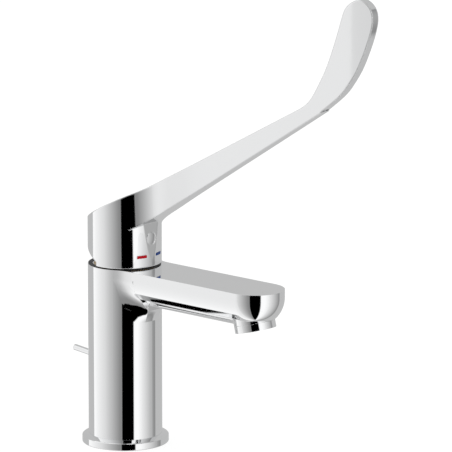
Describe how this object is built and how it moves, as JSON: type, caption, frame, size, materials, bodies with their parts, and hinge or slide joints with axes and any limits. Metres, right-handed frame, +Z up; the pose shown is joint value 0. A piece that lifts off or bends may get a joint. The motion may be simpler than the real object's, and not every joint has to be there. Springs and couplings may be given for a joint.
{
  "type": "basin mixer tap",
  "caption": "Chrome single-lever basin mixer tap with a long elbow lever, a flat-topped rounded spout, a tilted aerator and a pop-up waste lift rod.",
  "frame": {"origin": "on the column's axis, in the plane of the basin's deck that the tap stands on", "axes": "+Z up along the column, +X towards the user, along the spout and the lever at rest; +Y to the cold side"},
  "size_m": [0.246, 0.054, 0.3018],
  "materials": {
    "chrome_body": "polished chrome on brass",
    "chrome_lever": "polished chrome on zinc casting",
    "chrome_trim": "polished chrome on plastic",
    "chrome_rod": "polished chrome on brass",
    "seal_rubber": "black rubber",
    "nut_brass": "machined brass",
    "cartridge_plastic": "off-white moulded plastic",
    "glide_plastic": "black acetal plastic",
    "limiter_plastic": "red moulded plastic",
    "disc_ceramic": "ground alumina",
    "stream_plastic": "grey moulded plastic",
    "screen_steel": "stainless steel",
    "red_enamel": "gloss red enamel",
    "blue_enamel": "gloss blue enamel"
  },
  "bodies": {
    "tap": {"mixer_body": "chrome_body", "base_ring": "chrome_body", "base_gasket": "seal_rubber", "cartridge_nut": "nut_brass", "glide_ring": "glide_plastic", "cartridge_housing": "cartridge_plastic", "cartridge_base": "cartridge_plastic", "port_seals": "seal_rubber", "cartridge_o_ring": "seal_rubber", "fixed_disc": "disc_ceramic", "temperature_limiter": "limiter_plastic", "aerator_housing": "chrome_body", "aerator_insert": "stream_plastic", "aerator_screen": "screen_steel", "aerator_washer": "seal_rubber", "rod_guide": "cartridge_plastic"},
    "turret": {"turret": "cartridge_plastic", "stem_pin": "screen_steel"},
    "slider": {"disc_carrier": "cartridge_plastic", "moving_disc": "disc_ceramic"},
    "handle": {"lever": "chrome_lever", "stem": "nut_brass", "stem_adapter": "cartridge_plastic", "grub_screw": "screen_steel", "screw_plug": "chrome_trim", "hot_mark": "red_enamel", "cold_mark": "blue_enamel"},
    "rod": {"lift_rod": "chrome_rod"}
  },
  "joints": [
    {"name": "temperature_turn", "type": "hinge", "parent": "tap", "child": "turret", "pos_m": [0, 0, 0.126], "axis": [0, 0, 1], "range_deg": [-45, 45]},
    {"name": "lever_lift", "type": "hinge", "parent": "turret", "child": "handle", "pos_m": [0, 0, 0.126], "axis": [0, -1, 0], "range_deg": [0, 24]},
    {"name": "disc_slide", "type": "slide", "parent": "turret", "child": "slider", "axis": [1, 0, 0], "range_m": [0, 0.00665]},
    {"name": "popup_lift", "type": "slide", "parent": "tap", "child": "rod", "axis": [0, 0, 1], "range_m": [0, 0.02]}
  ],
  "couplings": [
    {"joint": "disc_slide", "follows": "lever_lift", "m_per_rad": 0.015882}
  ]
}
